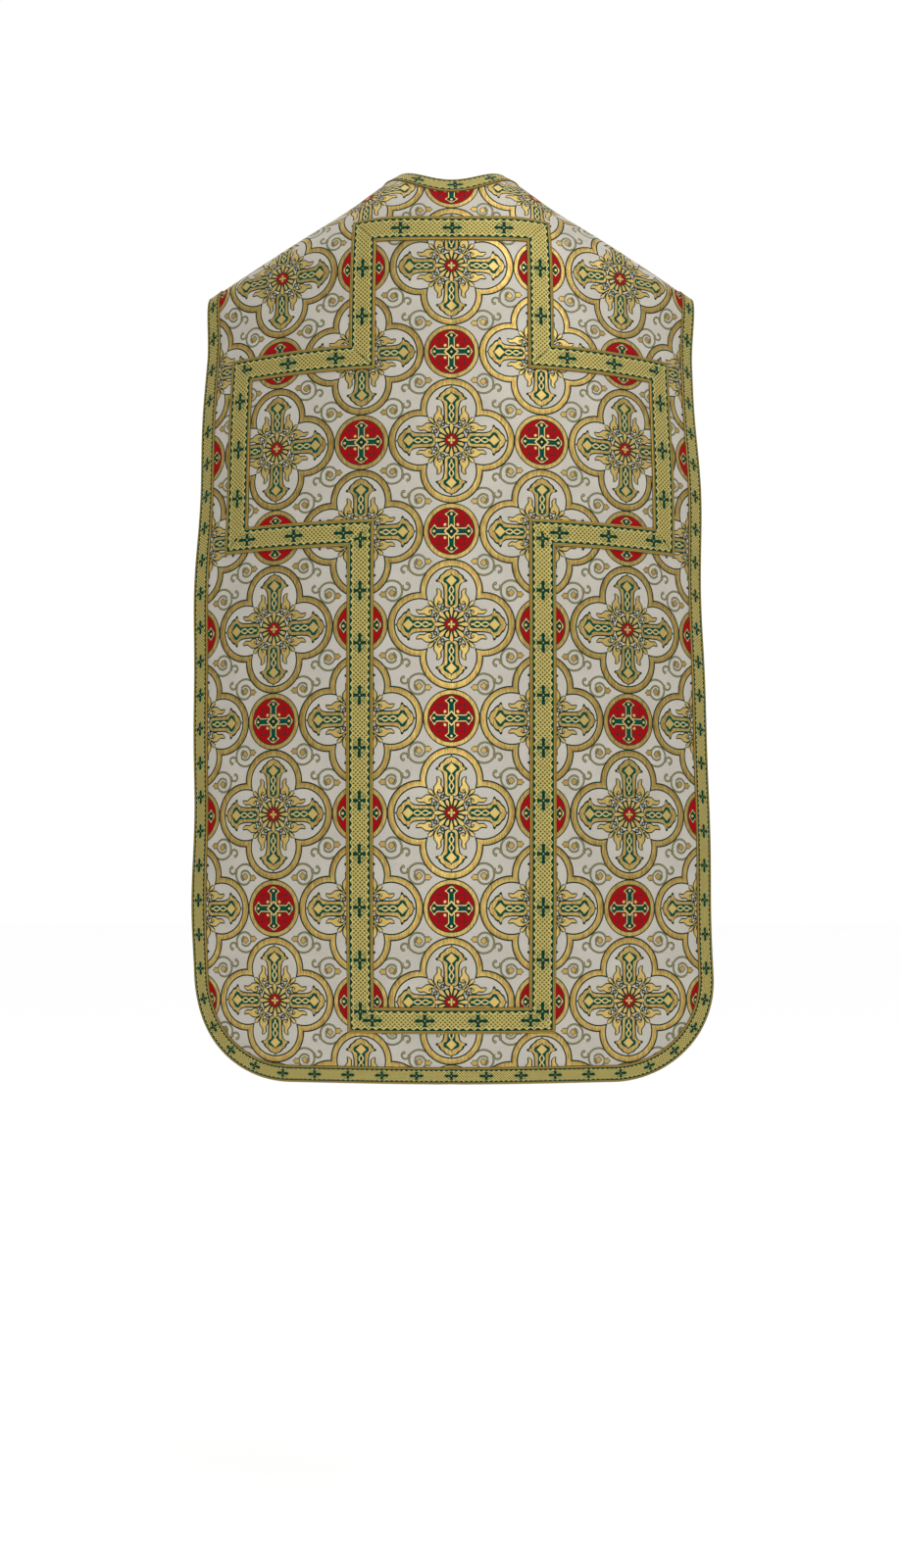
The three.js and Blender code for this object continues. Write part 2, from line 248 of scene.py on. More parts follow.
def panel_grid(panel, rows):
    """Flat points of a panel: columns 5 mm apart, closer round the corners, each with the
    same number of rows from its top outline to the hem."""
    straight = HALF_WIDTH - CORNER_RADIUS
    turn = straight + CORNER_RADIUS * np.sin(np.linspace(0, math.pi / 2, CORNER_COLUMNS))
    level = np.linspace(-straight, straight, STRAIGHT_COLUMNS)
    columns = np.concatenate([-turn[::-1], level[1:-1], turn])
    within = np.abs(columns) < NECK_HALF_WIDTH
    top = np.where(within, panel["neck_v"](columns), seam_v(columns) + SEAM_GAP)
    t = np.linspace(0, 1, rows)[:, None]
    v = top + (hem_v(panel["hem"], 0, columns) - top) * t
    return panel["cut"](np.broadcast_to(columns, v.shape), v), v


def cloth_wall(name, panel, u, v, low, high, pattern):
    """A closed wall of cloth over a grid of flat points, between two heights above the
    panel's inner face. The pattern's two flat directions and the side, 0 inside to 1
    outside, go with it as an attribute."""
    base = worn(panel, u, v)
    normal = outward(panel, worn, u, v)
    outer = base + normal * np.broadcast_to(high, u.shape)[..., None]
    inner = base + normal * np.broadcast_to(low, u.shape)[..., None]
    rows, columns = u.shape
    at = np.arange(rows * columns).reshape(rows, columns)
    face = np.stack([at[:-1, :-1], at[1:, :-1], at[1:, 1:], at[:-1, 1:]], -1).reshape(-1, 4)
    ring = np.concatenate([at[0, :-1], at[:-1, -1], at[-1, :0:-1], at[:0:-1, 0]])
    after = np.roll(ring, -1)
    count = rows * columns
    rim = np.stack([ring, after, after + count, ring + count], -1)
    faces = np.vstack([face, face[:, ::-1] + count, rim])
    down = base[1:, :-1] - base[:-1, :-1]
    across = base[:-1, 1:] - base[:-1, :-1]
    if np.sum(np.cross(down, across) * normal[:-1, :-1]) < 0:
        faces = faces[:, ::-1]
    points = np.concatenate([outer.reshape(-1, 3), inner.reshape(-1, 3)]) / 1000
    mesh = bpy.data.meshes.new(name)
    mesh.from_pydata(points, [], faces.tolist())
    flat = np.stack([np.broadcast_to(part, u.shape).ravel() for part in pattern], -1)
    side = np.repeat([1.0, 0.0], count)[:, None]
    values = np.hstack([np.vstack([flat, flat]), side])
    mesh.attributes.new("pattern", "FLOAT_VECTOR", "POINT").data.foreach_set(
        "vector", values.astype(np.float32).ravel()
    )
    mesh.shade_smooth()
    mesh.set_sharp_from_angle(angle=math.radians(SHARP_ANGLE))
    piece = bpy.data.objects.new(name, mesh)
    bpy.context.collection.objects.link(piece)
    return piece


class Thread:
    """One socket in a material. Sums of threads add Math nodes; node() adds any other."""

    def __init__(self, tree, socket):
        self.tree = tree
        self.socket = socket

    def node(self, kind, settings, inputs, output=0):
        """A node with its settings made first, then its inputs linked or filled in."""
        made = self.tree.nodes.new("ShaderNode" + kind)
        for name, value in settings.items():
            setattr(made, name, value)
        for key, value in inputs.items():
            if isinstance(value, Thread):
                self.tree.links.new(value.socket, made.inputs[key])
            else:
                made.inputs[key].default_value = value
        return Thread(self.tree, made.outputs[output])

    def math(self, operation, *values, clamp=False):
        """A Math node over some threads or numbers."""
        settings = {"operation": operation, "use_clamp": clamp}
        return self.node("Math", settings, dict(enumerate(values)))

    def __add__(self, other):
        return self.math("ADD", self, other)

    def __sub__(self, other):
        return self.math("SUBTRACT", self, other)

    def __rsub__(self, other):
        return self.math("SUBTRACT", other, self)

    def __mul__(self, other):
        return self.math("MULTIPLY", self, other)

    def __truediv__(self, other):
        return self.math("DIVIDE", self, other)

    __radd__ = __add__
    __rmul__ = __mul__

    def __abs__(self):
        return self.math("ABSOLUTE", self)

    def __lt__(self, other):
        return self.math("LESS_THAN", self, other)

    def __gt__(self, other):
        return self.math("GREATER_THAN", self, other)

    def least(self, *others):
        """The smallest of this and the others."""
        for other in others:
            self = self.math("MINIMUM", self, other)
        return self

    def most(self, *others):
        """The largest of this and the others."""
        for other in others:
            self = self.math("MAXIMUM", self, other)
        return self

    def root(self):
        return self.math("SQRT", self)

    def sine(self):
        return self.math("SINE", self)

    def fraction(self):
        return self.math("FRACT", self)

    def sign(self):
        return self.math("SIGN", self)

    def clamped(self):
        """No less than 0 and no more than 1."""
        return self.math("ADD", self, 0, clamp=True)

    def folded(self, width):
        """The distance from the nearest even multiple of the width."""
        return self.math("PINGPONG", self, width)

    def inside(self, soft=0.4):
        """1 where a distance is below zero and 0 above, over a soft edge this wide."""
        return self.math("MULTIPLY_ADD", self, -1 / soft, 0.5, clamp=True)

    def between(self, other, share):
        """Part of the way from this number to another."""
        return self.node("Mix", {"data_type": "FLOAT"}, {0: share, 2: self, 3: other})

    def tinted(self, low, high):
        """The colour that goes from low to high as this goes from 0 to 1."""
        return self.node("Mix", {"data_type": "RGBA"}, {0: self, 6: low, 7: high}, 2)

    def outline(self, span, height, points):
        """A drawn outline: a smooth curve through points of place and height, over a length
        from 0 to the span."""
        made = self.node("FloatCurve", {}, {"Value": self / span})
        curve = made.socket.node.mapping.curves[0]
        for place, value in points[1:-1]:
            curve.points.new(place / span, value / height)
        curve.points[0].location = (0, points[0][1] / height)
        curve.points[-1].location = (1, points[-1][1] / height)
        for point in curve.points:
            point.handle_type = "AUTO_CLAMPED"
        made.socket.node.mapping.update()
        return made * height


def length(x, y):
    """The distance of (x, y) from the origin."""
    return (x * x + y * y).root()


def disc(x, y, middle_x, middle_y, radius):
    """The distance of (x, y) outside a round spot."""
    return length(x - middle_x, y - middle_y) - radius


def angle_of(x, y):
    """The angle of (x, y) about the origin, in radians from the x axis."""
    return y.math("ARCTAN2", y, x)


# The studio's light against one that shows a colour as it is.
LIGHT_LEVEL = 1.25


def colour(red, green, blue):
    """A yarn's colour as it looks under the studio's light, 0 to 255, made linear and
    divided by that light."""
    part = np.array([red, green, blue]) / 255
    linear = np.where(part <= 0.04045, part / 12.92, ((part + 0.055) / 1.055) ** 2.4)
    return (*(linear / LIGHT_LEVEL).tolist(), 1)


class Weaving:
    """A woven surface as it is built up: its colour, how metallic it is, and its height in
    millimetres. It begins as the ground, and yarns are laid over it."""

    def __init__(self, name):
        self.material = bpy.data.materials.new(name)
        self.material.use_nodes = True
        self.tree = self.material.node_tree
        self.shader = next(n for n in self.tree.nodes if n.type == "BSDF_PRINCIPLED")
        start = Thread(self.tree, None)
        pattern = start.node("Attribute", {"attribute_name": "pattern"}, {}, "Vector")
        self.pattern = pattern
        self.along = pattern.node("SeparateXYZ", {}, {0: pattern}, 0)
        self.across = Thread(self.tree, self.along.socket.node.outputs[1])
        self.side = Thread(self.tree, self.along.socket.node.outputs[2])

    def ground(self, tint, metal, height):
        """The cloth that the yarns are laid on."""
        self.colour = tint
        self.metal = metal
        self.height = height

    def lay(self, mask, yarn, height):
        """Another yarn, a colour and how metallic it is, where the mask is 1."""
        tint, metal = yarn
        self.colour = mask.tinted(self.colour, tint)
        self.metal = self.metal.between(metal, mask)
        self.height = self.height.between(height, mask)

    def fill(self, aside, edge, yarn, height, margin=0):
        """A yarn from the middle line out to an edge and a margin, where there is an edge."""
        self.lay((aside - edge - margin).inside() * (edge > 0.02), yarn, height)

    def noise(self, scale, detail=2.0, stretch=(1, 1, 1)):
        """Cloudy noise over the flat pattern, with this many cells to a millimetre."""
        spread = self.pattern.node(
            "VectorMath", {"operation": "MULTIPLY"}, {0: self.pattern, 1: stretch}
        )
        return self.pattern.node(
            "TexNoise", {}, {"Vector": spread, "Scale": scale, "Detail": detail}
        )

    def finish(self, strand, strength, shine, smoothing):
        """The woven surface on its shader, with the fine strands raised over it. The shine
        is how much of the metal shows, and metal is smoother than silk by the smoothing."""
        relief = {"Strength": strength, "Distance": 0.001, "Height": self.height + strand}
        bump = strand.node("Bump", {}, relief)
        rough = SILK_ROUGHNESS - self.metal * smoothing
        for thread, name in (
            (self.colour, "Base Color"), (self.metal * shine, "Metallic"),
            (rough, "Roughness"), (bump, "Normal"),
        ):
            self.tree.links.new(thread.socket, self.shader.inputs[name])
        self.shader.inputs["Specular IOR Level"].default_value = YARN_SPECULAR
        return self.material


SILK_ROUGHNESS = 0.6
YARN_SPECULAR = 0.05

# The brocade's yarns: a colour, and how metallic the yarn is.
SILVER = colour(214, 208, 197)
SILVER_DARK = colour(164, 158, 145)
GOLD_DARK = colour(138, 102, 42)
GOLD_LIGHT = colour(217, 191, 117)
LEAF_DARK = colour(184, 153, 86)
LEAF_LIGHT = colour(220, 196, 122)
FLOWER_GOLD = colour(205, 177, 104)
REVERSE_DARK = colour(172, 152, 112)
REVERSE_LIGHT = colour(204, 188, 152)
GOLD = LEAF_DARK, 0.8
DIAMOND_GOLD = FLOWER_GOLD, 0.8
HEART_GOLD = FLOWER_GOLD, 0.7
LINK_SILK = FLOWER_GOLD, 0.1
PALE_GOLD = colour(214, 190, 124), 0.7
CONTOUR = colour(6, 46, 34), 0.1
TEAL = colour(0, 70, 58), 0.1
RED = colour(156, 6, 14), 0.1
KITE_LINE = colour(36, 40, 34), 0.1
LINK_GREY = colour(88, 92, 84), 0.1
OLIVE = colour(72, 78, 50), 0.3
OLIVE_PALE = colour(156, 148, 106), 0.4

# The brocade's repeat, from a quatrefoil to the next roundel: across the cloth, and how much
# longer it is down the cloth.
MOTIF_STEP = 113
STRETCH = 1.0336

# The scroll, from the middle of the gap between the motifs: the coil's middle, its radius,
# how much it closes in a turn, and where its inner and its outer end lie; the hook; the
# buds in the coil; and the leaf.
COIL_PLACE = (17, -17.4)
COIL_RADIUS = 13.6
COIL_CLOSING = 10.3
COIL_LEAST = 6.6
COIL_START = 0.58333
INNER_RADIUS = 5.5
INNER_END = 0.28
TAIL_RADIUS = 14.4
TAIL_START = 0.74
HOOK = (-0.8, -10.3, 4.4)
HOOK_MOUTH = (-2.6, -8.6)
HOOK_TIP = (-2.4, -6.9, 0.8)
STEM_HALF = 1.25
STEM_CORE = 0.4
OLIVE_LINE = 0.9
COIL_BUDS = [(1.7, -0.4, 1.7), (0, -2.6, 1.6), (0, 1.4, 1.7)]
LEAF_LINE = -19.6
SCROLL_LEAF = (60, 10, [
    (0, 0), (24.2, 0), (24.8, 1.6), (26, 3.4), (27.4, 2.6), (28.6, 3.4), (30.4, 2.2),
    (33.4, 0), (60, 0),
])
FAR = 50


def scroll(cloth, x, y):
    """A stem that coils round a gold bud, with a hooked branch and a small leaf. Each gap
    holds two of them, one turned half round from the other."""
    x = x - MOTIF_STEP / 2
    y = y - MOTIF_STEP / 2
    half_turn = (x - y).sign()
    x = x * half_turn
    y = y * half_turn
    cx = x - COIL_PLACE[0]
    cy = y - COIL_PLACE[1]
    r = length(cx, cy)
    turn = (angle_of(cx, cy) / (2 * math.pi) + COIL_START).fraction()
    coil = abs(r - (COIL_RADIUS - COIL_CLOSING * turn).most(COIL_LEAST))
    inner = abs(r - INNER_RADIUS) + (turn > INNER_END) * FAR
    tail = abs(r - TAIL_RADIUS) + (turn < TAIL_START) * FAR
    hook = abs(disc(x, y, *HOOK)) + (x > HOOK_MOUTH[0]) * (y > HOOK_MOUTH[1]) * FAR
    stem = coil.least(inner, tail, hook, disc(x, y, *HOOK_TIP))
    cloth.lay((stem - STEM_HALF).inside(), OLIVE, 0.25)
    cloth.lay((stem - STEM_CORE).inside(), OLIVE_PALE, 0.3)
    leaf = x.outline(*SCROLL_LEAF)
    over = abs(y - LEAF_LINE) - leaf
    cloth.lay((over - 0.7).inside() * (leaf > 0.05), OLIVE, 0.25)
    cloth.lay((over + 0.5).inside() * (leaf > 0.05), GOLD, 0.35)
    first, *others = (disc(abs(cx), cy, *spot) for spot in COIL_BUDS)
    bud = first.least(*others)
    cloth.lay((bud - OLIVE_LINE).inside(), OLIVE, 0.25)
    cloth.lay(bud.inside(), GOLD, 0.4)


# The quatrefoil's band: the middle and radius of a lobe's outside and inside, and of the
# round between the lobes; the dark line on both its sides; and its painted shade, darker
# outward.
BAND_OUTSIDE = (39.8, 0, 39.2)
BAND_INSIDE = (39, 0, 30.2)
BAND_MIDDLE = (0, 0, 24)
BAND_LINE = 1.7
BAND_WIDTH = 9
BAND_PAINTED_SHADE = 0.06


def quatrefoil_band(cloth, long, short, streak):
    """Four lobes of satin gold between dark lines, with painted shade darker toward the
    outside.
    """
    outer = disc(long, short, *BAND_OUTSIDE)
    hollow = disc(long, short, *BAND_INSIDE).least(disc(long, short, *BAND_MIDDLE))
    # Painted shade: the gold grows darker outward across the band, over its width, on top of
    # its streaks.
    share = streak * 1.5 - hollow.most(0).least(BAND_WIDTH) * BAND_PAINTED_SHADE
    satin = share.tinted(GOLD_DARK, GOLD_LIGHT)
    band = outer.most(-1 * hollow)
    cloth.lay(band.inside(), CONTOUR, 0.1)
    cloth.lay((band + BAND_LINE).inside(), (satin, 0.9), 0.45)


# A flame leaf's two edges along the arm, the lobe at its foot, and the curl in that lobe; the
# bud on the diagonal; and the small link between a leaf and the arm.
FLAME_OUTSIDE = (60, 25, [
    (0, 10), (14, 10), (14.8, 14.4), (17.4, 16.3), (22.7, 19.4), (26.4, 20.9), (30.2, 20.8),
    (34, 18.6), (37.8, 16.7), (41, 17), (43.4, 16.8), (44.4, 12), (60, 12),
])
FLAME_NEARSIDE = (60, 25, [
    (0, 20), (14, 20), (14.8, 14.4), (15.2, 13.5), (16.2, 13.7), (19.6, 15.9), (23.4, 17.8),
    (25.6, 17.8), (26.2, 11.3), (27.5, 10.9), (29.5, 10.9), (31.5, 12.2), (34, 13.4),
    (36, 13.1), (38.5, 13.1), (42, 15.4), (43.4, 16.8), (44.4, 22), (60, 22),
])
LOBE = (27.2, 13.7, 3)
CURL = (26.2, 15.1, 1.4)
CURL_HALF = 0.5
CURL_END = 25.4
BUD = (80, 4, [
    (0, 0), (29, 0), (30, 0.7), (33, 1.5), (36.4, 2.3), (38.4, 2), (40.4, 0), (80, 0),
])
LINK_MIDDLE = (19.6, 10.9, 0)
ROOT_HALF = math.sqrt(0.5)


def flame_leaves(cloth, long, short, leaf_gold):
    """A flame leaf on each side of an arm, a bud on each diagonal, and small links."""
    flame = (short - long.outline(*FLAME_OUTSIDE)).most(long.outline(*FLAME_NEARSIDE) - short)
    flame = flame.least(disc(long, short, *LOBE))
    cloth.lay((flame - 1.4).inside(), CONTOUR, 0.1)
    cloth.lay((flame + 0.1).inside(), leaf_gold, 0.5)
    curl = abs(disc(long, short, *CURL)) - CURL_HALF
    cloth.lay(curl.most(CURL_END - long).inside(), CONTOUR, 0.2)
    aside = (long - short) * ROOT_HALF
    bud = ((long + short) * ROOT_HALF).outline(*BUD)
    cloth.fill(aside, bud, CONTOUR, 0.1, 0.7)
    cloth.fill(aside, bud, leaf_gold, 0.5, -0.6)
    link = disc(long, short, *LINK_MIDDLE)
    cloth.lay((link - 3).inside(), LINK_GREY, 0.1)
    cloth.lay((abs(link - 2) - 0.45).inside(), CONTOUR, 0.1)
    cloth.lay((link - 0.9).inside(), LINK_SILK, 0.2)


# An arm of the large cross: the outlines of its dark line, its gold and its teal inside; the
# twist of two threads, its start, the length of a turn, its height, middle and half length;
# the diamond in its head, with how steep its edge is; and the dot at its foot.
ARM_LINE = (80, 20, [
    (0, 0), (18.2, 0), (18.8, 4.4), (20.6, 7.6), (23.4, 9), (40, 9.3), (45, 10), (48, 11.3),
    (50.5, 14), (52, 18.8), (53.2, 18.6), (55, 15.8), (57.5, 14.6), (59, 13.6), (62, 9.8),
    (64.5, 7.6), (66, 5.4), (69.2, 0), (80, 0),
])
ARM_GOLD = (80, 20, [
    (0, 0), (19.2, 0), (19.8, 3.6), (21.4, 6.6), (24, 8), (40, 8.4), (46, 9.4),
    (49.5, 11.6), (52, 16.2), (53, 16.6), (54.5, 14), (57.5, 12.9), (58.8, 12),
    (61.5, 8.4), (64, 6.2), (65.3, 4.2), (67.8, 0), (80, 0),
])
ARM_INSIDE = (80, 20, [
    (0, 0), (21.8, 0), (22.4, 2), (23.6, 4), (26, 5.1), (46, 5.1), (48, 5.6),
    (52.4, 10), (53.4, 10), (58, 5.5), (63, 0), (80, 0),
])
TWIST_START = 27
TWIST_TURN = 9.6
TWIST_HEIGHT = 2.7
TWIST_HALF = 0.85
TWIST_MIDDLE = (36.6, 9.8)
DIAMOND = (53, 6.6, 0.7)
FOOT_DOT = (25.4, 0, 1.3)


def arm_cross(cloth, long, short, gold):
    """Four arms with pointed, barbed heads: a dark line, gold, and a teal inside with a
    twist of pale threads and a gold diamond."""
    cloth.fill(short, long.outline(*ARM_LINE), CONTOUR, 0.1, 0.7)
    cloth.fill(short, long.outline(*ARM_GOLD), (gold, 0.85), 0.5)
    cloth.fill(short, long.outline(*ARM_INSIDE), TEAL, 0.2)
    wave = abs(((long - TWIST_START) * (math.pi / TWIST_TURN)).sine()) * TWIST_HEIGHT
    ends = abs(long - TWIST_MIDDLE[0]) - TWIST_MIDDLE[1]
    cloth.lay((abs(short - wave) - TWIST_HALF).most(ends).inside(), PALE_GOLD, 0.45)
    place, half_width, slope = DIAMOND
    diamond = (abs(long - place) + short - half_width) * slope
    cloth.lay(diamond.inside(), DIAMOND_GOLD, 0.5)
    cloth.lay(disc(long, short, *FOOT_DOT).inside(), PALE_GOLD, 0.4)


# The flower: its dark bed, the half width of the petals along their length, on the arms and
# diagonals and between them, and the red middle with its beads and heart.
BED_RADIUS = 18
PETAL_BETWEEN = (40, 5, [
    (0, 0), (8, 0.7), (11, 1.7), (14, 2.2), (16, 1.7), (17.6, 0), (40, 0),
])
PETAL_ON_ARM = (40, 5, [
    (0, 0), (8, 0.5), (11, 1.1), (15, 2.2), (18, 2.6), (20, 2.1), (22.3, 0), (40, 0),
])
MIDDLE_LINE = 8.6
MIDDLE_RADIUS = 7.9
BEAD = (4.4, 4.4, 1.5)
BEAD_HALF = 0.3
HEART = (2.9, 1.3, 1.4)


def flower(cloth, long, short, petal_gold):
    """Sixteen petals round a red middle with four beads and a heart of four lobes."""
    r = length(long, short)
    cloth.lay((r - BED_RADIUS).inside(), CONTOUR, 0.1)
    angle = angle_of(long, short)
    between = r * abs(angle - math.pi / 8)
    on_arm = r * angle.folded(math.pi / 8)
    for aside, shape in ((between, PETAL_BETWEEN), (on_arm, PETAL_ON_ARM)):
        petal = r.outline(*shape)
        cloth.fill(aside, petal, CONTOUR, 0.1, 0.8)
        cloth.fill(aside, petal, petal_gold, 0.5, -0.4)
    cloth.lay((r - MIDDLE_LINE).inside(), CONTOUR, 0.2)
    cloth.lay((r - MIDDLE_RADIUS).inside(), RED, 0.3)
    cloth.lay((abs(disc(long, short, *BEAD)) - BEAD_HALF).inside(), CONTOUR, 0.2)
    place, stretch, radius = HEART
    heart = (length((long - place) / stretch, short) - radius).least(r - radius)
    cloth.lay((heart - 0.5).inside(), CONTOUR, 0.2)
    cloth.lay(heart.inside(), HEART_GOLD, 0.4)


# The roundel: the radii of its ring's outer line, its gold, its inner line and its red
# ground; the kite-shaped leaves; and the small cross with its dark line, gold line, dark
# inside, teal hearts, knot and dots.
RING_RADII = (34.8, 33.5, 29.1, 27.8)
KITE = (40, 8, [(0, 0), (9, 0), (15.2, 4.8), (19, 3.2), (25.2, 0), (40, 0)])
SMALL_LINE = (40, 20, [
    (0, 5.4), (8, 5.3), (17, 5), (18.5, 5.8), (20, 8.4), (21, 9.6), (21.8, 9.1), (24, 5.6),
    (26, 3.4), (28, 0), (40, 0),
])
SMALL_GOLD = (40, 20, [
    (0, 4.4), (16.5, 4.1), (18, 4.7), (20, 7.3), (20.8, 8.3), (21.4, 7.8), (23.5, 4.5),
    (25.5, 2.5), (26.8, 0), (40, 0),
])
SMALL_INSIDE = (40, 20, [
    (0, 3.2), (9, 3.1), (17, 2.9), (18.4, 3.5), (19.8, 5.3), (21, 6.1), (22, 5.1), (24, 2.8),
    (25.2, 0), (40, 0),
])
TEAL_HEART = (14.4, 5.4, 2.2)
KNOT = (5.9, 0.85, 9)
DOTS = [(21.4, 0, 1.6), (8.2, 7.7, 1.5), (0, 0, 1.4)]


def roundel(cloth, long, short, gold):
    """A gold ring round a red ground, with a small cross and a leaf in each corner of it."""
    out = abs(MOTIF_STEP - long)
    r = length(out, short)
    long = out.most(short)
    short = out.least(short)
    outer, ring, inner, ground = RING_RADII
    cloth.lay((r - outer).inside(), CONTOUR, 0.1)
    cloth.lay((r - ring).inside(), (gold, 0.85), 0.45)
    cloth.lay((r - inner).inside(), CONTOUR, 0.1)
    cloth.lay((r - ground).inside(), RED, 0.2)
    diagonal = (long + short) * ROOT_HALF
    aside = (long - short) * ROOT_HALF
    kite = diagonal.outline(*KITE)
    cloth.lay((abs(aside - kite) - 0.7).inside() * (kite > 0.02), KITE_LINE, 0.2)
    cloth.fill(short, long.outline(*SMALL_LINE), CONTOUR, 0.2)
    cloth.fill(short, long.outline(*SMALL_GOLD), PALE_GOLD, 0.4)
    cloth.fill(short, long.outline(*SMALL_INSIDE), CONTOUR, 0.2)
    place, half_length, half_width = TEAL_HEART
    heart = (abs(long - place) - half_length).most(short - half_width)
    cloth.lay(heart.inside(), TEAL, 0.2)
    place, half_width, end = KNOT
    knot = abs(diagonal - place) - half_width
    cloth.lay(knot.inside() * (long < end), PALE_GOLD, 0.4)
    first, *others = (disc(long, short, *spot) for spot in DOTS)
    cloth.lay(first.least(*others).inside(), PALE_GOLD, 0.4)


STRAND_PITCH = 0.9
STRAND_HEIGHT = 0.03


def brocade_finish():
    """The figured cloth, woven over a silver ground: gold-banded quatrefoils with a cross,
    red roundels with a smaller cross, and scrolls between."""
    cloth = Weaving("brocade")
    u, v = cloth.along, cloth.across

    # Silver ground with a fine speckle of threads.
    speckle = cloth.noise(1.0, 3.0)
    cloud = cloth.noise(0.02, 2.0)
    share = speckle * 1.5 + cloud * 0.5 - 0.5
    cloth.ground(share.tinted(SILVER_DARK, SILVER), speckle * 0.1 + 0.2, speckle * 0.1)

    # Places folded about the nearest quatrefoil, with the repeat made square: their distance
    # along the nearest arm, and aside from it.
    x = u.folded(MOTIF_STEP)
    y = (v / STRETCH).folded(MOTIF_STEP)
    beyond = (x + y) > MOTIF_STEP
    x = x.between(MOTIF_STEP - x, beyond)
    y = y.between(MOTIF_STEP - y, beyond)
    long = x.most(y)
    short = x.least(y)

    # Streaks down the cloth in the gold yarns.
    streak = cloth.noise(0.7, 2.0, (1, 0.12, 1))
    gold = (streak * 1.5 - 0.25).tinted(GOLD_DARK, GOLD_LIGHT)
    leaf = (streak * 1.1 - 0.1).tinted(LEAF_DARK, LEAF_LIGHT)

    scroll(cloth, x, y)
    quatrefoil_band(cloth, long, short, streak)
    flame_leaves(cloth, long, short, (leaf, 0.8))
    arm_cross(cloth, long, short, gold)
    flower(cloth, long, short, (leaf, 0.7))
    roundel(cloth, long, short, gold)

    # Plain reverse, and the strands across the cloth.
    reverse = (cloud * 0.8 + speckle * 0.9 - 0.35).tinted(REVERSE_DARK, REVERSE_LIGHT)
    cloth.lay(cloth.side < 0.5, (reverse, 0.1), speckle * 0.2)
    strand = (v * (2 * math.pi / STRAND_PITCH)).sine() * STRAND_HEIGHT
    return cloth.finish(strand, strength=0.6, shine=0.75, smoothing=0.28)


BROCADE_FINISH = brocade_finish()

BACK = {
    "facing": -1,
    "sections": BACK_SECTIONS,
    "cut": lambda u, v: u,
    "neck_v": back_neck_v,
    "hem": BACK_HEM_V,
    "creases": BACK_CREASES,
}


def area_of(u, v):
    """The flat area of a grid of points in square metres: half of each cell's crossed
    diagonals."""
    first = u[1:, 1:] - u[:-1, :-1], v[1:, 1:] - v[:-1, :-1]
    second = u[:-1, 1:] - u[1:, :-1], v[:-1, 1:] - v[1:, :-1]
    return float(np.abs(first[0] * second[1] - first[1] * second[0]).sum() / 2e6)


def sew_panel(panel, name, node, rows):
    """A panel's cloth and its finish, attached to the root, with the part that it stands for
    hidden.
    """
    u, v = panel_grid(panel, rows)
    piece = cloth_wall(name, panel, u, v, 0, PANEL_THICKNESS, (u, v))
    piece.data.materials.append(BROCADE_FINISH)
    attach(piece, "root")
    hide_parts(node)
    area_of(u, v)
    return piece


back_cloth = sew_panel(BACK, "back_cloth", "back_panel", BACK_ROWS)

# ---- Front panel ----
# The front, of the same brocade: shorter, with a V neck, and hollowed at the sides to free
# the arms. It meets the back at the shoulder seams.
FRONT_NECK_V = -9
FRONT_NECK_EASING = 18
FRONT_HEM_V = 890
FRONT_ROWS = 220
EDGE_BRAID = 22.5

# The half width of the middle, which keeps its width where the sides are hollowed.
MIDDLE = 130

# Level sections, as for the back.
FRONT_SECTIONS = np.array([
    [0, 98, -128, 640, 640],
    [117, 122, -242, 580, 580],
    [250, 135, -374, 490, 490],
    [400, 140, -524, 460, 460],
    [600, 138, -724, 470, 470],
    [890, 130, -1014, 520, 520],
], float)

# The hollowed side: v, then its distance from the centre line.
FRONT_SIDES = np.array([
    [-14, 345],
    [40, 334],
    [117, 298],
    [200, 269],
    [300, 257],
    [400, 256],
    [600, 272],
    [890, 318],
], float)


def front_neck_v(u):
    """The front neckline: a V with a small round at its point."""
    reach = eased(u, FRONT_NECK_EASING) / eased(NECK_HALF_WIDTH, FRONT_NECK_EASING)
    return FRONT_NECK_V + (NECK_POINT_V - FRONT_NECK_V) * reach


def front_cut(u, v):
    """Columns outside the middle are drawn in evenly to the hollowed side, and the strip
    under the edge braid keeps its width."""
    side = np.abs(u)
    edge = HALF_WIDTH - EDGE_BRAID
    half = np.where(v > SHOULDER_TIP_V, smooth(FRONT_SIDES, v)[..., 0], HALF_WIDTH)
    inner = half - EDGE_BRAID
    drawn = MIDDLE + (side - MIDDLE) * (inner - MIDDLE) / (edge - MIDDLE)
    across = np.where(side <= edge, drawn, inner + side - edge)
    return np.sign(u) * np.where(side <= MIDDLE, side, across)


# Soft creases of the front, in the columns that the back's have.
FRONT_CREASES = {
    "fold": (0.8, -1, 8, -10, 90),
    "slack_from": 150,
    "left": [(2.0, 57, 1.6), (1.2, 35, 0.3)],
    "right": [(2.2, 63, 0.2), (1.2, 31, 1.1)],
    "pulls": [(1.5, 150, 0.3, 24, 60, 90), (1.3, -158, -0.28, 26, 45, 95)],
    "hem_roll": (1.2, 52, -0.4, 890, 150),
    "sways": [],
}
FRONT = {
    "facing": 1,
    "sections": FRONT_SECTIONS,
    "cut": front_cut,
    "neck_v": front_neck_v,
    "hem": FRONT_HEM_V,
    "creases": FRONT_CREASES,
}
front_cloth = sew_panel(FRONT, "front_cloth", "front_panel", FRONT_ROWS)

# ---- Edge braids ----
# One length of narrow woven braid down both sides and round the hem of each panel, its
# inner edge eased in at the corners. Two gold ribs, dark green teeth, and small crosses.
EDGE_INSET = 0.5
WIDE = 34

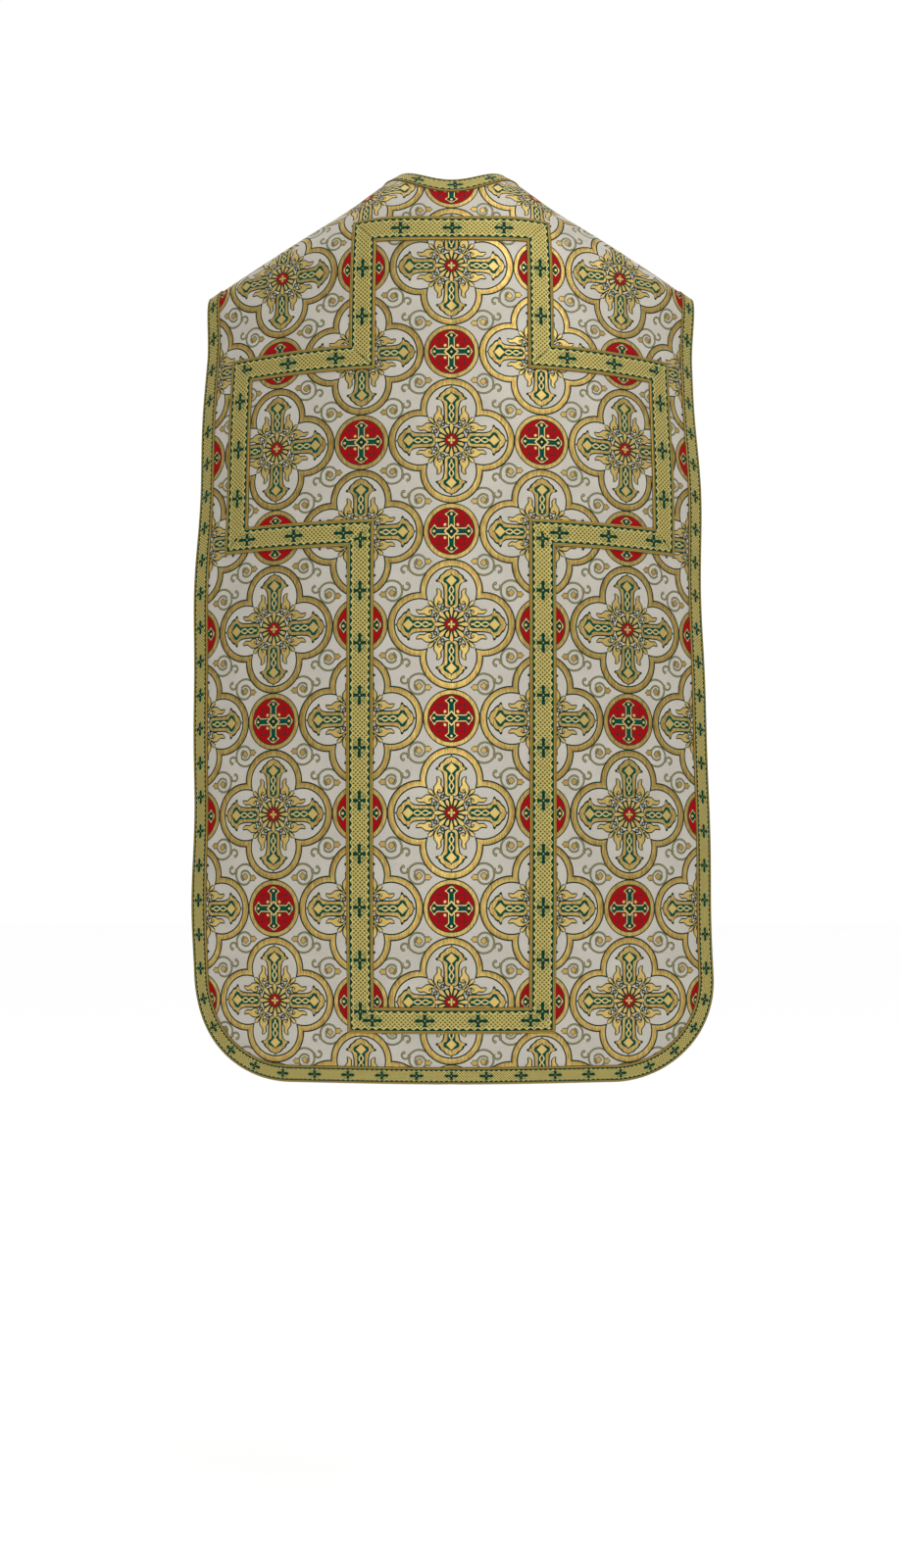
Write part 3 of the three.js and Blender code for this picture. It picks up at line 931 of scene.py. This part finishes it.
# Heights of the braid's two faces above the panel's inner face, and the columns of its grid.
BRAID_LOW = PANEL_THICKNESS + 0.1
BRAID_HIGH = 3.5
BRAID_COLUMNS = np.array([0, 0.6, 1.2, 2.2, 3, 3.8, 4.6, 7.5, 10.5, 13.5, 17]) / WIDE
BRAID_COLUMNS = np.concatenate([BRAID_COLUMNS, 1 - BRAID_COLUMNS[-2::-1]])
SIDE_ROWS = 230
CORNER_ROWS = 60
HEM_ROWS = 52

# Ridges and grooves over the flat middle: height, distance from the edge, width. Then how far
# a cut end and the row beside it are rolled down.
BRAID_PROFILE = [(-0.5, 0, 0.7), (0.35, 2, 1.1), (-0.15, 4.4, 0.8)]
END_DIP = 0.35
NEXT_DIP = 0.1

# The braid's yarns: a colour, and how metallic the yarn is.
BRAID_OLIVE = colour(92, 84, 36)
BRAID_LIGHT = colour(208, 192, 116)
BRAID_RIB = colour(172, 150, 74)
MARK_GREEN = colour(100, 122, 66), 0.2
BRAID_GREEN = colour(0, 54, 42), 0.1
CROSS_MIDDLE = BRAID_RIB, 0.5
TOOTH_GOLD = BRAID_LIGHT, 0.5
RIB_GOLD = BRAID_RIB, 0.7
SELVEDGE = colour(178, 130, 62), 0.6
BRAID_EDGE = colour(52, 62, 34), 0.2
BRAID_REVERSE = colour(150, 138, 84), 0.2

# The braid's drawing, in millimetres of the wide braid: from one small cross to the next, and
# the mesh of its net; a leaf mark's place along and aside, its stretch and radius; how far the
# cross reaches along and across, and the place and stretch of the clubs at its ends.
CROSS_STEP = 65.4
MESH_STEP = 5.4
LEAF_MARK = (6.3, 5.2, 1.5, 2.2)
CROSS_ALONG = 9.8
CROSS_ACROSS = 7.4
LONG_CLUB = (9.4, 1.25)
SHORT_CLUB = (6.7, 1.1)
CLUB_SPREAD = 0.5

# From the edge inward: the outer line; the middle and half width of the selvedge, the groove
# and the row of stitches; the rib; and where the green and the gold teeth start.
OUTER_LINE = 0.6
SELVEDGE_LINE = (1.0, 0.45)
GROOVE = (2.3, 0.3)
STITCH_LINE = (2.9, 0.3)
STITCH_STEP = 1.6
STITCH_HALF = 0.45
RIB_WIDTH = 3.7
GREEN_START = 3.2
GOLD_START = 5.4
TEETH = 7
TOOTH_HEIGHT = 3.5
TOOTH_TOP = 1.15
CORD_PITCH = 1.1
CORD_HEIGHT = 0.04


def stripe(aside, middle, half_width):
    """The distance outside a stripe."""
    return abs(aside - middle) - half_width


def braid_finish(name, width):
    """Woven braid, drawn at the wide braid's size and scaled to its width: a net of light
    threads over olive, small crosses, and teeth and ribs along both edges."""
    braid = Weaving(name)
    scale = WIDE / width
    along = braid.along * scale
    across = braid.across * scale
    centre = abs(across - WIDE / 2)
    inward = WIDE / 2 - centre

    # Ground with a net of lighter threads.
    fleck = braid.noise(1.3, 3.0)
    one = abs(((along + across) / MESH_STEP).fraction() - 0.5)
    two = abs(((along - across) / MESH_STEP).fraction() - 0.5)
    net = (one.least(two) * -6 + 1.3).clamped()
    share = net + fleck * 1.5 - 0.7
    tint = share.tinted(BRAID_OLIVE, BRAID_LIGHT)
    braid.ground(tint, fleck * 0.5 + 0.25, net * 0.12 + fleck * 0.1)

    # Faint leaf marks.
    near = along.folded(CROSS_STEP / 2)
    place, aside, stretch, radius = LEAF_MARK
    mark = length((near - place) / stretch, centre - aside) - radius
    braid.lay(mark.inside(1.6) * 0.5, MARK_GREEN, 0.1)

    # The cross with a club at each end, in strokes that stay strong on the narrow braid, and
    # its pale middle.
    stroke = 1 + scale
    upright = (near - CROSS_ALONG).most(centre - stroke)
    place, stretch = LONG_CLUB
    long_club = length((near - place) / stretch, centre) - stroke - CLUB_SPREAD
    level = (centre - CROSS_ACROSS).most(near - stroke)
    place, stretch = SHORT_CLUB
    short_club = length((centre - place) / stretch, near) - stroke - CLUB_SPREAD
    cross = upright.least(long_club, level, short_club)
    braid.lay(cross.inside(0.5), BRAID_GREEN, 0.2)
    braid.lay((length(near, centre) - 1).inside(0.5), CROSS_MIDDLE, 0.3)

    # Green teeth with a gold zigzag that follows them, and the ribs.
    half_tooth = CROSS_STEP / TEETH / 2
    tooth = (TOOTH_TOP - along.folded(half_tooth) / half_tooth).least(1) * TOOTH_HEIGHT
    braid.lay((inward - GOLD_START - tooth).inside(0.5), TOOTH_GOLD, 0.3)
    braid.lay((inward - GREEN_START - scale - tooth).inside(0.5), BRAID_GREEN, 0.05)
    braid.lay((inward - RIB_WIDTH).inside(0.5), RIB_GOLD, 0.3)
    braid.lay(stripe(inward, *SELVEDGE_LINE).inside(0.5), SELVEDGE, 0.2)
    braid.lay(stripe(inward, *GROOVE).inside(), BRAID_EDGE, 0.1)
    braid.lay((inward - OUTER_LINE).inside(), BRAID_EDGE, 0.0)

    # Sewing that holds both edges, and the plain reverse.
    stitch = stripe(along.folded(STITCH_STEP), STITCH_STEP / 2, STITCH_HALF)
    stitch = stitch.most(stripe(inward, *STITCH_LINE))
    braid.lay(stitch.inside(0.3) * 0.5, BRAID_EDGE, 0.0)
    braid.lay(braid.side < 0.5, BRAID_REVERSE, 0.1)
    cord = (along * (2 * math.pi / CORD_PITCH)).sine() * CORD_HEIGHT
    return braid.finish(cord, strength=0.7, shine=0.7, smoothing=0.2)


def braid_rise(rows):
    """The braid's height over its grid: a low outer edge, a round rib inside each edge, a
    groove, and a flat middle; both cut ends are rolled down a little."""
    e = np.minimum(BRAID_COLUMNS, 1 - BRAID_COLUMNS) * WIDE
    across = BRAID_HIGH + sum(
        height * hump(e - place, width) for height, place, width in BRAID_PROFILE
    )
    end = np.minimum(np.arange(rows), np.arange(rows)[::-1])[:, None]
    return across - END_DIP * (end == 0) - NEXT_DIP * (end == 1)


NARROW_FINISH = braid_finish("narrow_braid", EDGE_BRAID)


def sew_braid(panel, name, node, u, v, along, width, finish):
    """A length of braid on a panel and its finish, attached to the root, with the part that it
    stands for hidden.
    """
    flat_u = panel["cut"](u, v)
    across = np.broadcast_to(BRAID_COLUMNS * width, u.shape)
    pattern = (np.broadcast_to(along, u.shape), across)
    piece = cloth_wall(name, panel, flat_u, v, BRAID_LOW, braid_rise(len(u)), pattern)
    piece.data.materials.append(finish)
    area = area_of(flat_u, v)
    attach(piece, "root")
    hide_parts(node)
    return piece


def edge_grid(hem):
    """Flat points of an edge braid, from the left shoulder round the hem to the right one:
    each column runs down the side, round the corner and along the hem at its own inset. The
    length along it is that of the panel's edge, from the middle of the hem."""
    inset = EDGE_INSET + BRAID_COLUMNS * (EDGE_BRAID - EDGE_INSET)
    straight = HALF_WIDTH - CORNER_RADIUS
    top = seam_v(HALF_WIDTH - inset) + SEAM_GAP
    t = np.linspace(0, 1, SIDE_ROWS, endpoint=False)[:, None]
    side_v = top + (hem - CORNER_RADIUS - top) * t
    side_u = np.broadcast_to(inset - HALF_WIDTH, side_v.shape)
    turn = np.linspace(0, math.pi / 2, CORNER_ROWS, endpoint=False)[:, None]
    turn_u = -straight - (CORNER_RADIUS - inset) * np.cos(turn)
    turn_v = hem - CORNER_RADIUS + (CORNER_RADIUS - inset) * np.sin(turn)
    level_u = np.linspace(-straight, 0, HEM_ROWS)[:, None] + 0 * inset
    level_v = np.broadcast_to(hem - inset, level_u.shape)
    u = np.vstack([side_u, turn_u, level_u])
    v = np.vstack([side_v, turn_v, level_v])
    along = np.concatenate([
        straight + CORNER_RADIUS * math.pi / 2 + (hem - CORNER_RADIUS - side_v[:, :1]),
        straight + CORNER_RADIUS * (math.pi / 2 - turn),
        -level_u[:, :1],
    ])
    u = np.vstack([u, -u[-2::-1]])
    v = np.vstack([v, v[-2::-1]])
    return u, v, np.vstack([along, -along[-2::-1]])


for panel, side, under in ((BACK, "back", back_cloth), (FRONT, "front", front_cloth)):
    u, v, along = edge_grid(panel["hem"])
    sew_braid(
        panel, side + "_edge_trim", side + "_edge_braid", u, v, along,
        EDGE_BRAID, NARROW_FINISH,
    )

# ---- Neck braids ----
# Narrow braid along each neckline from shoulder seam to shoulder seam, eased round the
# curve: at the back a shallow hollow, at the front down one side of the V and up the other.
NECK_STEPS = 4001
NECK_ROW = 2.5
BACK_NECK_SHIFT = 4

# The length of shoulder seam that gives its slope, and how sharply the run-on at the ends
# fades toward the middle.
SEAM_RUN = 18
RUN_ON_POWER = 9


def neck_grid(neck_v, shift):
    """Flat points of a neck braid: the neckline moved down along its own normal, with both
    ends run on to lie along the shoulder seam."""
    place = np.linspace(-NECK_HALF_WIDTH, NECK_HALF_WIDTH, NECK_STEPS)
    run = np.concatenate([[0], np.cumsum(np.hypot(np.diff(place), np.diff(neck_v(place))))])
    rows = int(run[-1] / NECK_ROW)
    s = np.linspace(0, run[-1], rows)
    u = np.interp(s, run, place)
    slope = (neck_v(u + 0.05) - neck_v(u - 0.05)) / 0.1
    tangent = unit(np.stack([np.ones_like(u), slope], -1))
    normal = np.stack([-tangent[:, 1], tangent[:, 0]], -1)
    across = BRAID_COLUMNS * EDGE_BRAID
    t, n = tangent[-1], normal[-1]
    seam = (seam_v(NECK_HALF_WIDTH + SEAM_RUN) - seam_v(NECK_HALF_WIDTH)) / SEAM_RUN
    run_on = across * (seam * n[0] - n[1]) / (t[1] - seam * t[0])
    fade = (2 * s / run[-1] - 1) ** RUN_ON_POWER
    point = (
        np.stack([u, neck_v(u)], -1)[:, None]
        + normal[:, None] * across[None, :, None]
        + tangent[:, None] * (fade[:, None] * run_on[None])[..., None]
    )
    return point[..., 0], point[..., 1], (s - run[-1] / 2 - shift)[:, None]


for panel, side, under, shift in (
    (BACK, "back", back_cloth, BACK_NECK_SHIFT), (FRONT, "front", front_cloth, 0)
):
    u, v, along = neck_grid(panel["neck_v"], shift)
    sew_braid(
        panel, side + "_neck_trim", side + "_neck_braid", u, v, along,
        EDGE_BRAID, NARROW_FINISH,
    )

# ---- Cross on the back ----
# A Latin cross outlined in wide braid, in lengths that are mitred where they meet. Each
# length is given by the flat ends of its two edges, and by where one of its woven crosses
# lies along it.
WIDE_FINISH = braid_finish("wide_braid", WIDE)
CROSS_ROW = 3.2
LEAST_ROWS = 8

# Edges of the cross: the outer and inner u of stem and arms, and the outer v of the head, of
# the arms and of the foot. A small gap keeps the mitred lengths apart.
STEM_OUT = 130
STEM_IN = STEM_OUT - WIDE
ARM_OUT = 299
ARM_IN = ARM_OUT - WIDE
HEAD_V = -68
ARM_TOP_V = 103
ARM_LOW_V = 367
FOOT_V = 975
GAP = 0.15
SIDE_LENGTHS = {
    "head": (
        (STEM_IN, HEAD_V + WIDE + GAP), (STEM_IN, ARM_TOP_V + WIDE - GAP),
        (STEM_OUT, HEAD_V + GAP), (STEM_OUT, ARM_TOP_V - GAP), 0,
    ),
    "arm_top": (
        (STEM_OUT, ARM_TOP_V + GAP), (ARM_OUT - GAP, ARM_TOP_V + GAP),
        (STEM_IN + 2 * GAP, ARM_TOP_V + WIDE - GAP), (ARM_IN, ARM_TOP_V + WIDE - GAP), 147,
    ),
    "arm_end": (
        (ARM_IN, ARM_TOP_V + WIDE + GAP), (ARM_IN, ARM_LOW_V - WIDE - GAP),
        (ARM_OUT, ARM_TOP_V + GAP), (ARM_OUT, ARM_LOW_V - GAP), 163,
    ),
    "arm_bottom": (
        (STEM_IN + 2 * GAP, ARM_LOW_V - WIDE + GAP), (ARM_IN, ARM_LOW_V - WIDE + GAP),
        (STEM_OUT, ARM_LOW_V - GAP), (ARM_OUT - 2 * GAP, ARM_LOW_V - GAP), 200,
    ),
    "stem": (
        (STEM_IN, ARM_LOW_V - WIDE + GAP), (STEM_IN, FOOT_V - WIDE - GAP),
        (STEM_OUT, ARM_LOW_V + GAP), (STEM_OUT, FOOT_V - GAP), 423.6,
    ),
}
MIDDLE_LENGTHS = {
    "top": (
        (GAP - STEM_OUT, HEAD_V), (STEM_OUT - GAP, HEAD_V),
        (-STEM_IN, HEAD_V + WIDE - GAP), (STEM_IN, HEAD_V + WIDE - GAP), 1,
    ),
    "foot": (
        (-STEM_IN, FOOT_V - WIDE + GAP), (STEM_IN, FOOT_V - WIDE + GAP),
        (GAP - STEM_OUT, FOOT_V), (STEM_OUT - GAP, FOOT_V), 32.7,
    ),
}


def strip_grid(corners):
    """Flat points between two edges: straight lines from end to end of each edge, and
    straight across from one edge to the other."""
    a, b, c, d = (np.array(corner, float) for corner in corners)
    rows = max(int(np.linalg.norm(b - a) / CROSS_ROW), LEAST_ROWS)
    t = np.linspace(0, 1, rows)[:, None, None]
    w = BRAID_COLUMNS[None, :, None]
    point = (a + (b - a) * t) * (1 - w) + (c + (d - c) * t) * w
    return point[..., 0], point[..., 1]


def sew_length(name, length_of, mirror):
    """One length of the cross, on the right or mirrored to the left."""
    u, v = strip_grid(length_of[:4])
    level = length_of[0][1] == length_of[1][1]
    along = (u if level else v) - length_of[4]
    sew_braid(
        BACK, f"cross_{name}_trim", f"cross_{name}", u * mirror, v, along,
        WIDE, WIDE_FINISH,
    )


for name, length_of in MIDDLE_LENGTHS.items():
    sew_length(name, length_of, 1)
for name, length_of in SIDE_LENGTHS.items():
    for side, mirror in (("left", -1), ("right", 1)):
        sew_length(f"{name}_{side}", length_of, mirror)

# ---- Studio ----
# A plain pale floor, surroundings that are white ahead and darker behind the camera, an even
# light from the ceiling, a high soft light, a tall narrow one that the gold catches, and the
# camera level with the middle of the back.
FLOOR_Z = -1.8
FLOOR_REACH = 60
FLOOR_COLOUR = (0.97, 0.97, 0.97, 1)
FLOOR_ROUGHNESS = 0.9

# How bright the surroundings are behind the camera, how much brighter ahead, and where and
# how fast they brighten between.
LEVEL_BEHIND = 0.44
LEVEL_RISE = 0.58
LEVEL_START = 0.15
LEVEL_SLOPE = 2.2
CEILING_POWER = 1.0
CEILING_SPREAD = 60
CAMERA_PLACE = (0, -2.702, -0.940)
CAMERA_LENS = 47.4
CAMERA_SHIFT = (-0.0009, 0.0706)


def stage_floor():
    """A wide flat floor with a plain matt finish."""
    mesh = bpy.data.meshes.new("floor")
    reach = FLOOR_REACH
    corners = [(-reach, -reach, FLOOR_Z), (reach, -reach, FLOOR_Z)]
    corners += [(reach, reach, FLOOR_Z), (-reach, reach, FLOOR_Z)]
    mesh.from_pydata(corners, [], [(0, 1, 2, 3)])
    floor = bpy.data.objects.new("floor", mesh)
    bpy.context.collection.objects.link(floor)
    finish = bpy.data.materials.new("floor")
    finish.use_nodes = True
    shader = next(n for n in finish.node_tree.nodes if n.type == "BSDF_PRINCIPLED")
    shader.inputs["Base Color"].default_value = FLOOR_COLOUR
    shader.inputs["Roughness"].default_value = FLOOR_ROUGHNESS
    mesh.materials.append(finish)


def soft_light(name, place, aim, width, height, power):
    """A rectangular soft light that points at a place."""
    data = bpy.data.lights.new(name, "AREA")
    data.shape = "RECTANGLE"
    data.size = width
    data.size_y = height
    data.energy = power
    light = bpy.data.objects.new(name, data)
    light.location = place
    toward = np.array(aim, float) - np.array(place, float)
    flat = math.hypot(toward[0], toward[1])
    light.rotation_euler = (math.atan2(flat, -toward[2]), 0, math.atan2(-toward[0], toward[1]))
    bpy.context.collection.objects.link(light)


stage_floor()
world = bpy.data.worlds.new("surroundings")
world.use_nodes = True
background = next(n for n in world.node_tree.nodes if n.type == "BACKGROUND")
background.inputs["Color"].default_value = (1, 1, 1, 1)
air = Thread(world.node_tree, None)
direction = air.node("TexCoord", {}, {}, "Generated")
ahead = direction.node("SeparateXYZ", {}, {0: direction}, 1)
level = ((ahead + LEVEL_START) * LEVEL_SLOPE).clamped() * LEVEL_RISE + LEVEL_BEHIND
world.node_tree.links.new(level.socket, background.inputs["Strength"])
bpy.context.scene.world = world
sun = bpy.data.objects.new("ceiling_light", bpy.data.lights.new("ceiling_light", "SUN"))
sun.data.energy = CEILING_POWER
sun.data.angle = math.radians(CEILING_SPREAD)
bpy.context.collection.objects.link(sun)
soft_light(
    "high_light", place=(1.2, -1.9, 2.2), aim=(0.1, 0, -0.3), width=2.0, height=1.6, power=52
)
soft_light(
    "tall_light", place=(0, -3.4, -0.3), aim=(0, 0, -0.7), width=0.6, height=2.6, power=28
)

camera_data = bpy.data.cameras.new("camera")
camera_data.lens = CAMERA_LENS
camera_data.sensor_width = 36
camera_data.shift_x, camera_data.shift_y = CAMERA_SHIFT
camera = bpy.data.objects.new("camera", camera_data)
camera.location = CAMERA_PLACE
camera.rotation_euler = (math.pi / 2, 0, 0)
bpy.context.collection.objects.link(camera)
bpy.context.scene.camera = camera
bpy.context.scene.view_settings.view_transform = "Standard"
